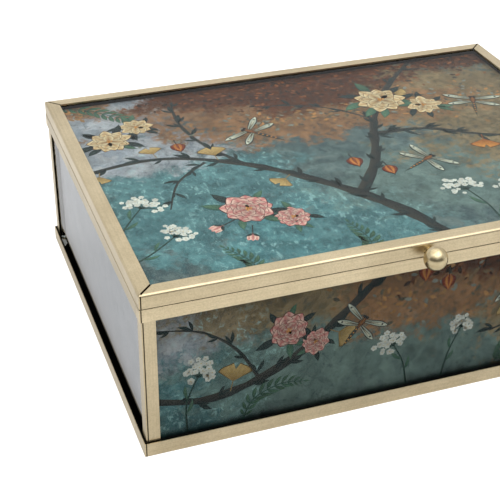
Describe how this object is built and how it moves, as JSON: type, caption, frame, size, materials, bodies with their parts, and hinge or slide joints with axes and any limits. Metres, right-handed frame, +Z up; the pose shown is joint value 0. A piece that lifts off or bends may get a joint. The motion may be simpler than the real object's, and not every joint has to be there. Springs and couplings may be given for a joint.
{
  "type": "glass casket box",
  "caption": "Low rectangular keepsake box of glass panes over printed sheets in folded brass edge strips, with a hinged lid and a ball knob.",
  "frame": {"origin": "centre of the underside, in the plane that the box rests on", "axes": "+X to the right along the width, +Y to the back where the hinges are, +Z up; the knob faces -Y"},
  "size_m": [0.2, 0.1615, 0.0659],
  "materials": {
    "brass": "satin pale brass sheet, lightly brushed along the strips",
    "knob": "polished satin pale brass",
    "pin": "plain wire",
    "glass": "clear float glass",
    "print": null,
    "lid_lining": "black flocked card",
    "velvet": "black velvet",
    "felt": "black felt",
    "board": "hardboard"
  },
  "bodies": {
    "base": {"base_strip_front": "brass", "base_strip_back": "brass", "base_strip_left": "brass", "base_strip_right": "brass", "post_front_left": "brass", "post_front_right": "brass", "post_back_left": "brass", "post_back_right": "brass", "rim_strip_front": "brass", "rim_strip_back": "brass", "rim_strip_left": "brass", "rim_strip_right": "brass", "pane_front": "glass", "pane_back": "glass", "pane_left": "glass", "pane_right": "glass", "print_front": "print", "print_back": "print", "print_left": "print", "print_right": "print", "floor_board": "board", "floor_pad": "velvet", "underside_felt": "felt", "hinge_left_base_leaf": "brass", "hinge_right_base_leaf": "brass", "hinge_left_pin": "pin", "hinge_right_pin": "pin"},
    "lid": {"lid_strip_front": "brass", "lid_strip_back": "brass", "lid_strip_left": "brass", "lid_strip_right": "brass", "lid_pane": "glass", "lid_print": "print", "lid_backing": "lid_lining", "knob": "knob", "hinge_left_lid_leaf": "brass", "hinge_right_lid_leaf": "brass"}
  },
  "joints": [
    {"name": "lid_hinge", "type": "hinge", "parent": "base", "child": "lid", "pos_m": [0, 0.0761, 0.0596], "axis": [-1, 0, 0], "range_deg": [0, 110]}
  ]
}
